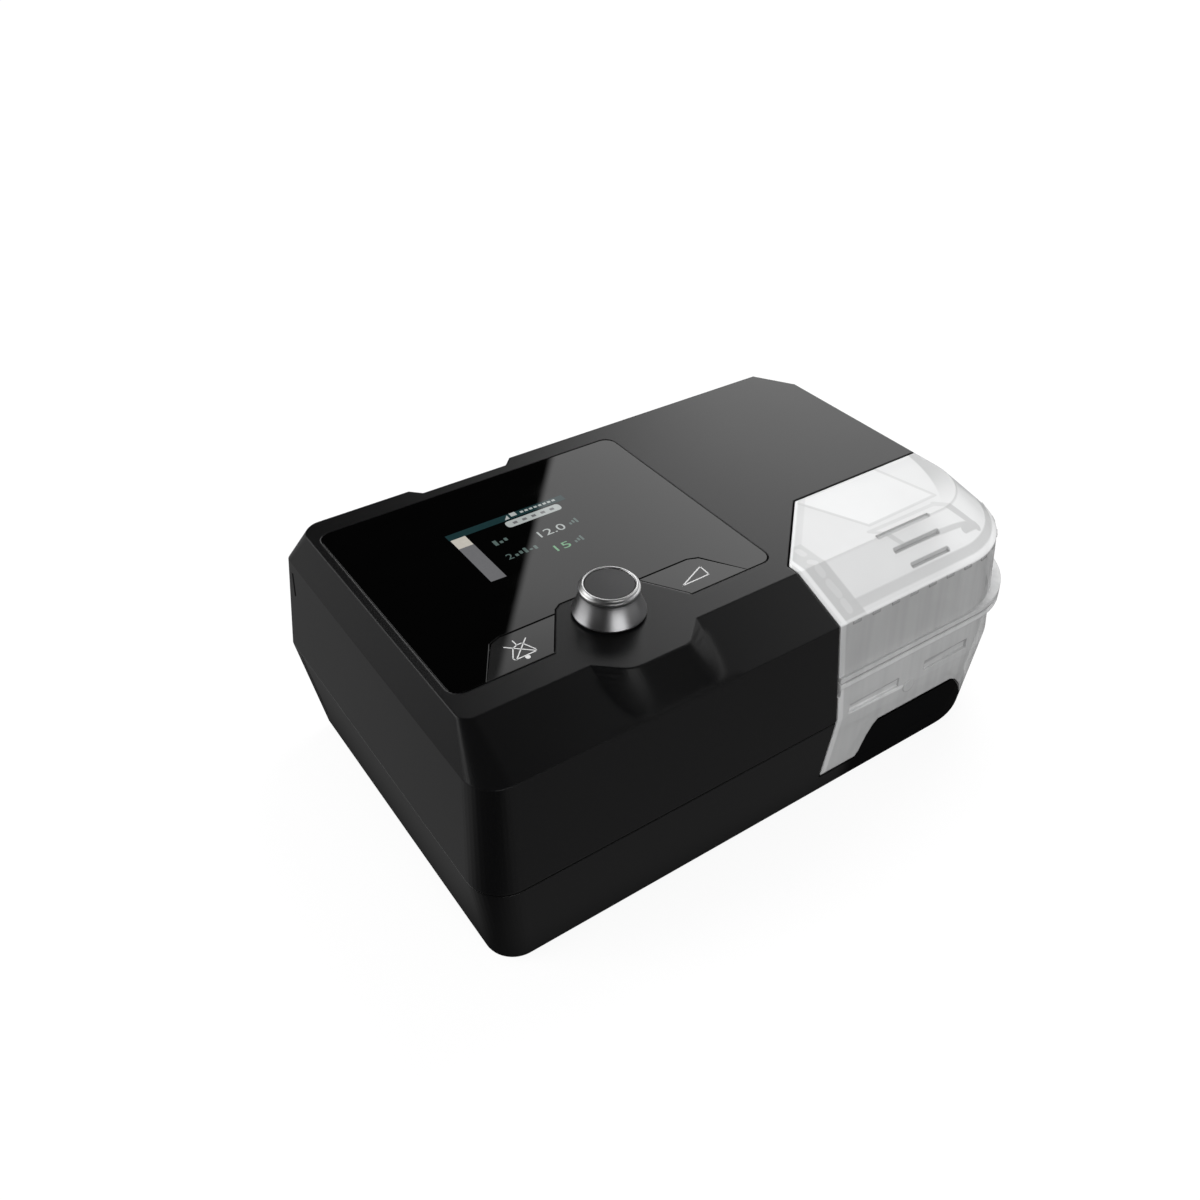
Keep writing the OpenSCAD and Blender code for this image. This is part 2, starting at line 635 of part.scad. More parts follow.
// The part of the body that fills the tank's bay between two heights
module tank_block(low, high, g = 0) intersection() {
    body_form(g);
    tank_space(-tank_gap);
    band(low, high);
}

// A rim round the tank at the seam
module tank_rim(low, high) intersection() {
    translate([0, 0, low]) linear_extrude(high - low) polygon(outline(rim_level));
    tank_space(-tank_gap);
}

// The skirts on both sides of the channel are open from below
module tub_skirt_hollow() intersection() {
    body_form(-tank_wall);
    tank_space(-tank_gap - tank_wall);
    difference() {
        band(-110, water_floor - tank_wall);
        translate([0, 60, 0]) rotate([90, 0, 0]) linear_extrude(100) pedestal_section(tank_wall);
    }
}

module tank_tub() color([0.72, 0.74, 0.75, 0.7]) deck_frame() difference() {
    union() {
        tank_block(tub_bottom, -seam_drop - groove);
        tank_rim(-seam_drop - 3.2, -seam_drop - groove);
        tube_y(188, -62.7, 3, -20.9, -19);
    }
    intersection() {
        body_form(-tank_wall);
        tank_space(-tank_gap - tank_wall);
        band(water_floor, 1);
    }
    translate([0, 60, 0]) rotate([90, 0, 0]) linear_extrude(100) pedestal_section(0);
    translate([0, 0, -80]) linear_extrude(20)
        round_rect(heater_box[0][0] + 0.3, heater_box[0][1] + 0.3, heater_box[1][0] - 0.3, heater_box[1][1] - 0.3, 4);
    tub_skirt_hollow();
    translate([140, -60, -50]) cube([9.4, 200, 4.6]);
    tub_front_marks();
}

// The shallow groove on the left of the tub's front and the deepening slot on its right
module tub_front_marks() {
    translate([155, -25, -60.6]) cube([27, 5.5, 4.2]);
    translate([0, 0, -58.8]) linear_extrude(4.4)
        polygon([[196, -25], [221, -25], [221, -19], [196, -19.9]]);
}

module tank_seal() color([0.5, 0.5, 0.5]) deck_frame() difference() {
    tank_block(-seam_drop - groove, -seam_drop, -0.9);
    intersection() {
        body_form(-tank_wall);
        tank_space(-tank_gap - tank_wall);
    }
}

module lid_cavity() difference() {
    intersection() {
        body_hollow(tank_wall, tank_wall, -under_drop + 3);
        tank_space(-tank_gap - tank_wall);
    }
    for (x = port_x) tube_y(x, -port_drop, 9, 20, 40);
}

module tank_lid() color([0.85, 0.87, 0.88, 0.6]) deck_frame() difference() {
    union() {
        tank_block(-seam_drop, 1);
        tank_rim(-seam_drop, -seam_drop + 2.4);
    }
    lid_cavity();
    for (x = port_x) tube_y(x, -port_drop, 7, 10, 50);
    grip_recesses();
    for (x = [rib_from:rib_pitch:rib_to]) translate([x, -18, -37]) cube([rib_pitch * 0.45, 1.6, 19]);
}

// Three steps in the lid's sloping front that give the fingers a hold
module grip_recesses() for (i = [0:2])
    translate([181 + 4 * i, -0.6 - 6.1 * i, -0.75 - 4.85 * i]) cube([28.3 - 4 * i, 1.7, 2]);

// ---- drawing --------------------------------------------------------------

upper_shell();
base_shell();
screen_glass();
display_module();
main_board();
control_board();
knob_collar();
encoder_body();
encoder_plunger();
knob_skirt();
knob_disc();
knob_shaft();
left_button();
left_carrier();
left_switch();
right_button();
right_carrier();
right_switch();
card_socket();
memory_card();
power_inlet();
outlet_port();
blower_volute();
volute_cover();
blower_motor();
motor_mounts();
impeller();
rotor_shaft();
inlet_filter();
filter_cover();
acoustic_foam();
supply_duct();
return_duct();
dock_seals();
heater_pad();
heater_plate();
tank_tub();
tank_plate();
tank_seal();
tank_lid();
rubber_feet();
case_screws();
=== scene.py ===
# %% [markdown]
# A bedside breathing machine: a black moulded housing, a flush glass panel with a small screen, a turned metal
# knob, two glass keys and a clear water tank. The solids are already built; this lesson dresses them. It starts by
# loading them as a fixed frame, in metres, with the table at height zero.

# %% Load the solids
import math
import bpy
import bmesh
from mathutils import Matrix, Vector
from mathutils.bvhtree import BVHTree


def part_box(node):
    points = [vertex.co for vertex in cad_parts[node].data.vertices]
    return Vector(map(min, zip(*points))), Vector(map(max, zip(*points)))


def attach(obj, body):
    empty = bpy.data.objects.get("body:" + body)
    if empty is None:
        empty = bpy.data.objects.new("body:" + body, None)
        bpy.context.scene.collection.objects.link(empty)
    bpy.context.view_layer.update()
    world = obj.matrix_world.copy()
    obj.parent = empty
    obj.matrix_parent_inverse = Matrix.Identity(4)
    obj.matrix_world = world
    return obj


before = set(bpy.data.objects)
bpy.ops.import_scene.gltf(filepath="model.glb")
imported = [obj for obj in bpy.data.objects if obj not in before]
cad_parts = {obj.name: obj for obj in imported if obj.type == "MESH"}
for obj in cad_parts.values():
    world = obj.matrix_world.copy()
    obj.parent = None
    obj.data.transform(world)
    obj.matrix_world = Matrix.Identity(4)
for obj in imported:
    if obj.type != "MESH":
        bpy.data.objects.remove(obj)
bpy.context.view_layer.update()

# %% [markdown]
# Everything on the deck is easiest to place in millimetres from the deck's front left corner, because that is how
# such a panel is drawn. The knob's disc says where that corner is: its axis is 70 mm to the right and 20.3 mm back.

# %% Deck coordinates
MM = 0.001
DECK = 100 * MM                             # the deck's height above the table
KNOB_ON_DECK = (70, 20.3)
disc_low, disc_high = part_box("knob_disc")
corner_x = (disc_low[0] + disc_high[0]) / 2 - KNOB_ON_DECK[0] * MM
corner_y = (disc_low[1] + disc_high[1]) / 2 - KNOB_ON_DECK[1] * MM


def on_deck(x, y, z=0.0):
    """A point given in millimetres from the deck's front left corner, z above the deck."""
    return (corner_x + x * MM, corner_y + y * MM, DECK + z * MM)


print("deck corner at", [round(v, 4) for v in on_deck(0, 0)])

# %% [markdown]
# The photograph was taken from the front left, about thirty degrees down. The camera's place and its 37 mm lens
# were solved from the straight edges of the housing. The small vertical shift is the photograph's own framing.

# %% Camera
CAMERA_PLACE = (-126.39, -257.79, 268.24)   # millimetres from the deck's corner
CAMERA_TURN = (59.236, -0.355, -34.412)     # degrees
scene = bpy.context.scene
camera_data = bpy.data.cameras.new("camera")
camera_data.lens = 36.786
camera_data.sensor_width = 36
camera_data.shift_y = -0.125
camera_data.clip_start = 0.01
camera = bpy.data.objects.new("camera", camera_data)
camera.location = on_deck(*CAMERA_PLACE)
camera.rotation_euler = [math.radians(angle) for angle in CAMERA_TURN]
scene.collection.objects.link(camera)
scene.camera = camera
scene.view_settings.view_transform = "Standard"
print("camera at", [round(v, 3) for v in camera.location], "lens", round(camera_data.lens, 1), "mm")

# %% [markdown]
# Materials and the sky are written as sums and products. `Value` wraps one output of a node, so that `1 - mask`
# or `grain * 0.2` adds the Math nodes by itself, and `Graph.node` makes any other node from its settings and inputs.

# %% Values that flow
class Value:
    """A number, vector or colour that flows from one node to the next."""

    def __init__(self, graph, socket):
        self.graph, self.socket = graph, socket

    def math(self, operation, *terms):
        return self.graph.node("ShaderNodeMath", {"operation": operation}, dict(enumerate(terms)))[0]

    def __add__(self, other): return self.math("ADD", self, other)
    def __radd__(self, other): return self.math("ADD", other, self)
    def __sub__(self, other): return self.math("SUBTRACT", self, other)
    def __rsub__(self, other): return self.math("SUBTRACT", other, self)
    def __mul__(self, other): return self.math("MULTIPLY", self, other)
    def __rmul__(self, other): return self.math("MULTIPLY", other, self)
    def __truediv__(self, other): return self.math("DIVIDE", self, other)
    def __neg__(self): return self.math("MULTIPLY", self, -1.0)
    def power(self, other): return self.math("POWER", self, other)
    def absolute(self): return self.math("ABSOLUTE", self)
    def lowest(self, other): return self.math("MINIMUM", self, other)
    def highest(self, other): return self.math("MAXIMUM", self, other)

    def step(self, start, end):
        """0 below start and 1 above end, with a smooth rise between."""
        return self.graph.node("ShaderNodeMapRange", {"interpolation_type": "SMOOTHSTEP", "clamp": True},
                               {"Value": self, "From Min": start, "From Max": end, "To Min": 0.0, "To Max": 1.0})[0]


print("values ready")

# %% [markdown]
# Sockets go by name, or by number where several share a name: a Mix node has its factor at 0, its two vectors at 4
# and 5, and its two colours at 6 and 7. Every finish starts as an empty material with such a graph.

# %% Graphs of nodes
class Graph:
    """The nodes of one material, of the world or of a Geometry Nodes tree."""

    def __init__(self, tree):
        self.tree = tree
        tree.nodes.clear()

    def node(self, kind, settings=None, inputs=None):
        made = self.tree.nodes.new(kind)
        for name, value in (settings or {}).items():
            setattr(made, name, value)
        for name, value in (inputs or {}).items():
            if isinstance(value, Value):
                self.tree.links.new(value.socket, made.inputs[name])
            else:
                made.inputs[name].default_value = value
        return [Value(self, output) for output in made.outputs]

    def mix(self, factor, first, second):
        """A colour between first, where factor is 0, and second, where it is 1."""
        first, second = (end if isinstance(end, Value) else (*end, 1.0) for end in (first, second))
        return self.node("ShaderNodeMix", {"data_type": "RGBA"}, {0: factor, 6: first, 7: second})[2]

    def turned(self, factor, first, second):
        """A direction between first, where factor is 0, and second, where it is 1."""
        return self.node("ShaderNodeMix", {"data_type": "VECTOR"}, {0: factor, 4: first, 5: second})[1]

    def position(self):
        """The point on the piece, in metres of the shared frame: the node's Object output."""
        return self.node("ShaderNodeTexCoord")[3]

    def stretched(self, scale, turn=(0, 0, 0)):
        """The point on the piece, turned and scaled along each axis for a pattern with a direction."""
        return self.node("ShaderNodeMapping", None, {"Vector": self.position(), "Rotation": turn, "Scale": scale})[0]

    def parts_of(self, vector):
        return self.node("ShaderNodeSeparateXYZ", None, {0: vector})

    def deck_place(self):
        """The point's x and y on the deck in millimetres, and its z above the deck."""
        x, y, z = self.parts_of(self.position())
        return (x - corner_x) * 1000.0, (y - corner_y) * 1000.0, (z - DECK) * 1000.0

    def along(self, vector, direction):
        """How far a vector points along a direction."""
        return self.node("ShaderNodeVectorMath", {"operation": "DOT_PRODUCT"}, {0: vector, 1: direction})[1]

    def noise(self, vector, scale, detail=2.0):
        return self.node("ShaderNodeTexNoise", None, {"Vector": vector, "Scale": scale, "Detail": detail})[0]

    def rounded(self, radius):
        return self.node("ShaderNodeBevel", {"samples": 8}, {"Radius": radius})[0]

    def bump(self, height, strength, distance, normal):
        return self.node("ShaderNodeBump", None,
                         {"Height": height, "Strength": strength, "Distance": distance, "Normal": normal})[0]

    def principled(self, inputs):
        return self.node("ShaderNodeBsdfPrincipled", None, inputs)[0]

    def surface(self, shader):
        self.node("ShaderNodeOutputMaterial", None, {"Surface": shader})


def new_finish(name):
    """An empty material and its graph."""
    material = bpy.data.materials.new(name)
    material.use_nodes = True
    return material, Graph(material.node_tree)


def scaled(colour, factor):
    """A darker or lighter shade of a colour, never past white."""
    return tuple(min(1.0, part * factor) for part in colour)


print("graphs ready")

# %% [markdown]
# The machine stands in a white studio, but what its black surfaces mirror is not white everywhere: a large soft
# panel behind it on the right has a straight left edge, and that edge is the slanting line across the glass. A
# great circle of directions through the camera's mirror image gives exactly such a line. The panel grows a little
# brighter towards its right and fades at its far end, and a softer card beside it reaches the right part of the
# front slope.

# %% The panel behind
PANEL_EDGE = (0.7525, -0.6227, 0.2145)      # the normal of the panel edge's great circle
PANEL_LIGHT, PANEL_RISE, SIDE_LIGHT = 1.40, 0.42, 0.75

world = bpy.data.worlds.new("studio")
world.use_nodes = True
scene.world = world
sky = Graph(world.node_tree)
direction = sky.node("ShaderNodeTexCoord")[0]
rightward, backward, upward = sky.parts_of(direction)
behind_edge = sky.along(direction, PANEL_EDGE).step(-0.004, 0.004)
front_part = (-backward).step(0.10, 0.42)
top_edge = 1 - upward.step(0.59, 0.74)
right_edge = 1 - rightward.step(0.70, 0.88) * 0.7
right_panel = (behind_edge * upward.step(-0.02, 0.10) * top_edge * right_edge * (1 - front_part)
               * (PANEL_LIGHT + rightward.step(0.44, 0.60) * PANEL_RISE))
side_card = rightward.step(0.44, 0.66) * upward.step(0.30, 0.50) * front_part * SIDE_LIGHT
print("panel and side card ready")

# %% [markdown]
# A polished ring mirrors the whole room, so it needs more than one panel to read as bright all round. Three small
# cards do it: one high behind on the left, and a pair low on the left and in front whose gap is the dark stripe
# down the knob's skirt. They sit where no flat face of the housing looks. Nothing hangs overhead: the deck would
# then mirror a lit knob where its dark contact shadow belongs.

# %% Cards for the knob
def card(toward, start, end):
    """1 in the middle of a round card in that direction, fading out from end to start."""
    return sky.along(direction, Vector(toward).normalized()).step(start, end)


high_card = card((-0.55, 0.60, 0.58), 0.88, 0.97) * 1.1
low_left_card = card((-0.82, 0.55, 0.12), 0.88, 0.96) * 1.5
low_front_card = card((-0.10, -0.98, 0.06), 0.89, 0.97) * (1 - upward.step(0.10, 0.28)) * 2.4
knob_cards = high_card + low_left_card + low_front_card
print("three knob cards ready")

# %% [markdown]
# The Light Path node tells rays apart. What the camera sees, also through the tank, is plain white; mirror rays
# see the panel and the cards in a nearly black room; all others find an even, dim light.

# %% What each ray sees
CAMERA_RAY, GLOSSY_RAY, TRANSMISSION_RAY = 0, 3, 6      # outputs of the Light Path node
WHITE = (1, 1, 1, 1)
DARK_ROOM, EVEN_LIGHT = 0.008, 0.42

ray = sky.node("ShaderNodeLightPath")
mirrored = right_panel + side_card + knob_cards + DARK_ROOM
seen_straight = ray[CAMERA_RAY].highest(ray[TRANSMISSION_RAY])
unseen = ray[GLOSSY_RAY] * mirrored + (1 - ray[GLOSSY_RAY]) * EVEN_LIGHT
level = seen_straight + (1 - seen_straight) * unseen
background = sky.node("ShaderNodeBackground", None, {"Color": WHITE, "Strength": level})[0]
sky.node("ShaderNodeOutputWorld", None, {"Surface": background})
print("world has", len(world.node_tree.nodes), "nodes")

# %% [markdown]
# Three soft lamps shape the body without showing in its reflections: a key high on the right, a broad fill from
# the left that lifts the left wall, and a weak one from the front. A colour then renders about as it is written.

# %% Lamps
def soft_lamp(name, place, size, watts):
    """A round lamp that looks at the middle of the machine and shows in no mirror."""
    data = bpy.data.lights.new(name, "AREA")
    data.shape, data.size, data.energy = "DISK", size, watts
    lamp = bpy.data.objects.new(name, data)
    lamp.location = place
    lamp.rotation_euler = (Vector((0, 0, 0.05)) - Vector(place)).to_track_quat("-Z", "Y").to_euler()
    lamp.visible_glossy = False
    scene.collection.objects.link(lamp)
    print("lamp", name, watts, "W")


soft_lamp("key", (0.7, 0.5, 1.1), 0.9, 13.0)
soft_lamp("left_fill", (-1.0, 0.25, 0.45), 0.8, 9.0)
soft_lamp("front_fill", (-0.2, -1.2, 0.5), 0.8, 8.0)

# %% [markdown]
# The floor is a pale sheet. It takes the shadow like any grey sheet; what the camera sees in addition is a white
# glow, so that it meets the white background. Far away the glow makes up for the lamps, whose light ends there.
# Mirror rays see the sheet much darker, because the black walls would otherwise turn grey.

# %% Floor sheet
FLOOR_SIZE, FLOOR_DROP = 12.0, 0.0002
GLOW_NEAR, GLOW_RISE = 0.91, 0.09

bpy.ops.mesh.primitive_plane_add(size=FLOOR_SIZE, location=(0, 0, -FLOOR_DROP))
floor = bpy.context.object
floor.name = "floor"
floor_paper, paper = new_finish("floor_paper")
floor_ray = paper.node("ShaderNodeLightPath")
floor_place = paper.position()
floor_x, floor_y = paper.parts_of(floor_place)[:2]
fibre = paper.noise(floor_place, 900.0)
pale_sheet = paper.mix(fibre, (0.096,) * 3, (0.104,) * 3)
sheet_colour = paper.mix(floor_ray[GLOSSY_RAY] * 0.9, pale_sheet, (0.0,) * 3)
sheet = paper.node("ShaderNodeBsdfDiffuse", None, {"Color": sheet_colour})[0]
distance = (floor_x * floor_x + floor_y * floor_y).power(0.5)
camera_glow = (floor_ray[CAMERA_RAY].highest(floor_ray[TRANSMISSION_RAY])
               * (GLOW_NEAR + distance.step(0.4, 2.4) * GLOW_RISE))
print("floor sheet ready")

# %% [markdown]
# The walls' tones come from what they mirror of the floor: one card lies beside the left wall, one at the rear left
# makes that wall brighter towards the rear, and one lies in front, while the corner between them stays dark. A
# dimmer one lies behind and on the right. All are there for mirror rays alone.

# %% Cards on the floor
left_card = (-floor_x).step(0.116, 0.148) * floor_y.step(-0.085, -0.035) * 0.165
rear_left_card = paper.along(floor_place, (-0.64, 0.77, 0.0)).step(0.16, 0.30) * 0.23
far_card = floor_y.step(0.11, 0.19).highest(floor_x.step(0.15, 0.23)) * 0.14
front_card = floor_x.step(-0.155, -0.110) * (-floor_y).step(0.07, 0.09) * 0.115
mirror_glow = left_card.highest(rear_left_card).highest(far_card) + front_card
glow_level = camera_glow + floor_ray[GLOSSY_RAY] * mirror_glow
glow = paper.node("ShaderNodeEmission", None, {"Color": WHITE, "Strength": glow_level})[0]
paper.surface(paper.node("ShaderNodeAddShader", None, {0: sheet, 1: glow})[0])
floor.data.materials.append(floor_paper)
print("floor has", len(floor_paper.node_tree.nodes), "nodes")

# %% [markdown]
# Most of the machine is moulded plastic. Such a surface has a fine spark-eroded grain, tones that drift a little
# from place to place, and softly rounded edges. The Bevel node rounds the light on an edge without new faces. A
# mask can ask for a wider rounding in one place, and another for a dull surface.

# %% Moulded plastic
def moulded(name, colour, drift=0.15, roughness=0.42, grain=0.25, grain_size=0.35 * MM, edge=0.9 * MM, shine=0.5,
            softened=None, dull=None):
    material, g = new_finish(name)
    point = g.position()
    patches = g.noise(point, 22.0, 3.0)
    pits = g.noise(point, 1.0 / grain_size, 2.0)
    edges = g.rounded(edge)
    if softened:
        edges = g.turned(softened(g), edges, g.rounded(4.5 * MM))
    tone = g.mix(patches * 0.7 + pits * 0.3, scaled(colour, 1 - drift), scaled(colour, 1 + drift))
    shader = g.principled({
        "Base Color": tone,
        "Roughness": roughness + (patches - 0.5) * 0.03 + (pits - 0.5) * 0.04,
        "Specular IOR Level": shine,
        "Normal": g.bump(pits, grain, 0.06 * MM, edges),
    })
    if dull:
        matt = g.principled({"Base Color": tone, "Roughness": 0.6, "Specular IOR Level": 0.04})
        shader = g.node("ShaderNodeMixShader", None, {0: dull(g), 1: shader, 2: matt})[0]
    g.surface(shader)
    return material


print("moulded plastic ready")

# %% [markdown]
# Two places on the shells differ from the rest. The platform under the knob dies away in wide soft creases, and
# the front of the base below the tank stays dull and deep black.

# %% Plastics and rubber
def platform_flanks(g):
    """1 on the flanks and the front of the platform under the knob."""
    x, y, z = g.deck_place()
    across = x.step(42, 47) * (1 - x.step(97, 102))
    return across * (1 - y.step(0, 6)) * (1 - z.step(-5.0, -2.0)) * z.step(-22, -17)


def under_tank(g):
    """1 on the front of the base below the tank."""
    x, y, z = g.deck_place()
    return x.step(153, 163) * (1 - y.step(-2, 22)) * (1 - z.step(-63.0, -60.5))


SHELL_BLACK = (0.0030, 0.0030, 0.0032)
case_plastic = moulded("case_plastic", SHELL_BLACK, roughness=0.31, grain=0.15, softened=platform_flanks)
base_plastic = moulded("base_plastic", SHELL_BLACK, roughness=0.31, grain=0.15, dull=under_tank)
inner_plastic = moulded("inner_plastic", (0.030, 0.030, 0.032), roughness=0.50)
port_plastic = moulded("port_plastic", (0.022, 0.022, 0.023), roughness=0.38, grain=0.1)
pale_plastic = moulded("pale_plastic", (0.62, 0.62, 0.58), drift=0.05, roughness=0.35, grain=0.1)
card_plastic = moulded("card_plastic", (0.03, 0.06, 0.16), roughness=0.35, edge=0.2 * MM)
rubber = moulded("rubber", (0.022, 0.022, 0.022), roughness=0.72, grain=0.5, shine=0.3)
seal_rubber = moulded("seal_rubber", (0.20, 0.20, 0.205), drift=0.1, roughness=0.6)
motor_paint = moulded("motor_paint", (0.05, 0.05, 0.055), roughness=0.38)
circuit_board = moulded("circuit_board", (0.012, 0.09, 0.035), roughness=0.32, grain=0.15)
print("plastics and rubber made")

# %% [markdown]
# The filter and the damping foam are soft and rough: the same recipe with a coarse, deep grain and no shine.

# %% Fibre and foam
fibre_mat = moulded("fibre_mat", (0.42, 0.42, 0.39), drift=0.3, roughness=0.95, grain=1.0, grain_size=0.6 * MM,
                    shine=0.1)
foam = moulded("foam", (0.06, 0.06, 0.065), drift=0.4, roughness=0.95, grain=1.0, grain_size=0.9 * MM, shine=0.1)
print("fibre and foam made")

# %% [markdown]
# The panel is one sheet of black glass with the keys cut from it. Real glass is almost perfectly smooth, so its
# only texture is a faint film of wiping marks that makes the mirror image a touch softer in places. The keys have
# a paler print behind them than the panel.

# %% Black glass
def polished_glass(name, depth):
    material, g = new_finish(name)
    film = g.noise(g.stretched((30, 120, 30), (0, 0, 0.6)), 1.0, 3.0)
    g.surface(g.principled({
        "Base Color": g.mix(film, (depth * 0.75,) * 3, (depth * 1.25,) * 3),
        "Roughness": 0.012 + film.step(0.35, 0.8) * 0.02,
        "IOR": 1.52,
        "Normal": g.rounded(0.35 * MM),
    }))
    return material


black_glass = polished_glass("black_glass", 0.0005)
key_glass = polished_glass("key_glass", 0.0110)
print("glass made for the panel and the keys")

# %% [markdown]
# The knob is turned from aluminium: a waisted skirt with a polished top ring and a satin disc. A lathe leaves
# rings, so the bump reads only the height and the distance from the axis, and the rings spread each highlight up
# and down the skirt. The ring at the top is cut round, so its edges get a wider radius, and it is polished and
# paler; its paler colour is partly a painted highlight that keeps it bright all round.

# %% Turned metal
LATHE_PITCH = 5200.0                        # noise cells to the metre
TOP_RING = (DECK + 8.9 * MM, DECK + 9.5 * MM)   # the heights between which the skirt becomes its ring
knob_x, knob_y = on_deck(*KNOB_ON_DECK)[:2]


def turned_metal(name, colour, roughness, ring_strength, across, tone=0.12, round_top=0.25 * MM, top_highlight_colour=None):
    material, g = new_finish(name)
    x, y, z = g.parts_of(g.position())
    dx, dy = x - knob_x, y - knob_y
    radius = (dx * dx + dy * dy).power(0.5)
    profile = g.node("ShaderNodeCombineXYZ", None, {0: radius * across, 1: z, 2: 0.0})[0]
    rings = g.noise(profile, LATHE_PITCH, 2.0)
    at_top = z.step(*TOP_RING)
    edges = g.turned(at_top, g.rounded(0.25 * MM), g.rounded(round_top))
    shade = g.mix(rings, scaled(colour, 1 - tone), scaled(colour, 1 + tone))
    # The top ring's paler colour: polished metal, and partly a painted highlight.
    if top_highlight_colour:
        shade = g.mix(at_top, shade, top_highlight_colour)
    g.surface(g.principled({
        "Base Color": shade,
        "Metallic": 1.0,
        "Roughness": roughness + (rings - 0.5) * 0.06,
        "Normal": g.bump(rings, ring_strength * (1 - at_top * 0.7), 0.03 * MM, edges),
    }))
    return material


skirt_metal = turned_metal("skirt_metal", (0.62, 0.62, 0.63), 0.34, 0.12, 0.4, tone=0.05, round_top=0.8 * MM,
                           top_highlight_colour=(0.95, 0.95, 0.95))
disc_metal = turned_metal("disc_metal", (0.12, 0.12, 0.122), 0.40, 0.25, 1.0)
print("turned metal made for the skirt and the disc")

# %% [markdown]
# Screws, the shaft and the heater plates are steel or aluminium with a short straight brushing.

# %% Brushed metal
def brushed_metal(name, colour, roughness, stretch):
    material, g = new_finish(name)
    hairs = g.noise(g.stretched(stretch), 1.0, 3.0)
    g.surface(g.principled({
        "Base Color": g.mix(hairs, scaled(colour, 0.85), scaled(colour, 1.12)),
        "Metallic": 1.0,
        "Roughness": roughness + (hairs - 0.5) * 0.15,
        "Normal": g.bump(hairs, 0.2, 0.03 * MM, g.rounded(0.2 * MM)),
    }))
    return material


steel = brushed_metal("steel", (0.55, 0.55, 0.56), 0.30, (900, 900, 4000))
plate_metal = brushed_metal("plate_metal", (0.60, 0.60, 0.61), 0.32, (180, 4200, 900))
print("brushed metal made for the screws and the plates")

# %% [markdown]
# The tank is a clear, slightly milky plastic. Seen from above, its lid shows many lines: a bright window, a finger
# pocket on the sloping front, a strip of small cells down its left edge, and rims that the light runs along. The
# outlines, the pocket and the cells are ribs and steps inside the plastic, too fine to cut; the window's brightness
# and the light along the rims are painted highlights. Each is a distance to a line or a band of heights, in
# millimetres from the deck's corner.

# %% Lines and panels
def heading(start, end):
    """The length of a segment, and the x and y of its unit direction."""
    length = math.hypot(end[0] - start[0], end[1] - start[1])
    return length, (end[0] - start[0]) / length, (end[1] - start[1]) / length


def line_mask(x, y, start, end, half, soft=0.35):
    """1 within half a width of the segment from start to end, and 0 beyond a soft edge."""
    length, ux, uy = heading(start, end)
    along_line = (x - start[0]) * ux + (y - start[1]) * uy
    across = ((x - start[0]) * -uy + (y - start[1]) * ux).absolute()
    past = (-along_line).highest(along_line - length).highest(0.0)
    away = (across * across + past * past).power(0.5)
    return 1 - away.step(half - soft, half + soft)


def strongest(masks):
    total = masks[0]
    for mask in masks[1:]:
        total = total.highest(mask)
    return total


def outline_mask(x, y, corners, half):
    """1 near the open outline that runs through the corners."""
    return strongest([line_mask(x, y, start, end, half) for start, end in zip(corners, corners[1:])])


def panel_mask(x, y, corners, soft=0.5):
    """1 inside a convex outline whose corners run anticlockwise."""
    total = 1.0
    for start, end in zip(corners, corners[1:] + corners[:1]):
        ux, uy = heading(start, end)[1:]
        total = ((x - start[0]) * -uy + (y - start[1]) * ux).step(-soft, soft) * total
    return total


def band_mask(value, low, high, soft=0.35):
    """1 where a value lies between low and high."""
    return value.step(low - soft, low + soft) * (1 - value.step(high - soft, high + soft))


print("line, panel and band masks ready")

# %% [markdown]
# The tank's left side slants as it goes down, so a strip along it needs the side's own line: one for the slope at
# the top, one for the lid's wall and one for the tub. Each says where the side lies at one height, and how far it
# moves with each millimetre of height.

# %% The tank's left edge
def from_left_edge(x, z):
    """How far a point lies to the right of the tank's left side, in millimetres."""
    slope_line = 140.3 - z * 0.36
    wall_line = 145.7 - (z + 15.0) * 0.076
    tub_line = 149.2 + (z + 61.0) * 0.148
    return x - slope_line.lowest(wall_line).lowest(tub_line)


print("left edge ready")

# %% [markdown]
# The lid's top puts those masks together. Its outline points were read off the photograph on the deck's own plane:
# the window's left, front and right sides are drawn as lines, and the finger pocket is a closed loop.

# %% Outlines and greys of the lid
WINDOW = [(171.6, 35.1), (184.2, 7.6), (222.0, 8.4), (216.1, 35.5)]
POCKET = [(181.0, 4.3), (217.0, 4.1), (229.0, -7.0), (191.0, -5.5), (186.5, -0.6), (181.0, 4.3)]
POCKET_SIDE = ((217, 4.1), (230, -8.5))
POCKET_END = ((229.5, -7.6), (222.0, -8.4))
GRIPS = [((181.5 + 4 * i, 0.25 - 6.1 * i), (209.0, 0.25 - 6.1 * i)) for i in range(3)]
CELLS = [((149.6, 10.0), (149.7, 7.6)), ((148.7, 2.4), (149.6, 1.2)), ((149.3, -1.2), (149.8, -2.9)),
         ((150.5, -6.5), (151.9, -10.2)), ((152.2, -13.2), (152.8, -15.4))]
# Greys of the lid's top: the slope and the top each get the grey their light gives them, and the shoulder, the right of
# the slope and the window get painted shade and highlights.
FACET, TOP, WINDOW_HIGHLIGHT, LINE, EDGE_LIGHT = 0.78, 0.72, 0.77, 0.58, 0.88
SHOULDER_SHADE, SLOPE_HIGHLIGHT, RIM, GRIP, CELL = 0.46, 0.94, 0.62, 0.40, 0.68


def grey(value):
    """A grey with the plastic's faint cool cast."""
    return (value, value * 1.005, value * 1.008)


print("window", len(WINDOW), "corners; pocket", len(POCKET) - 1, "corners; cells", len(CELLS))
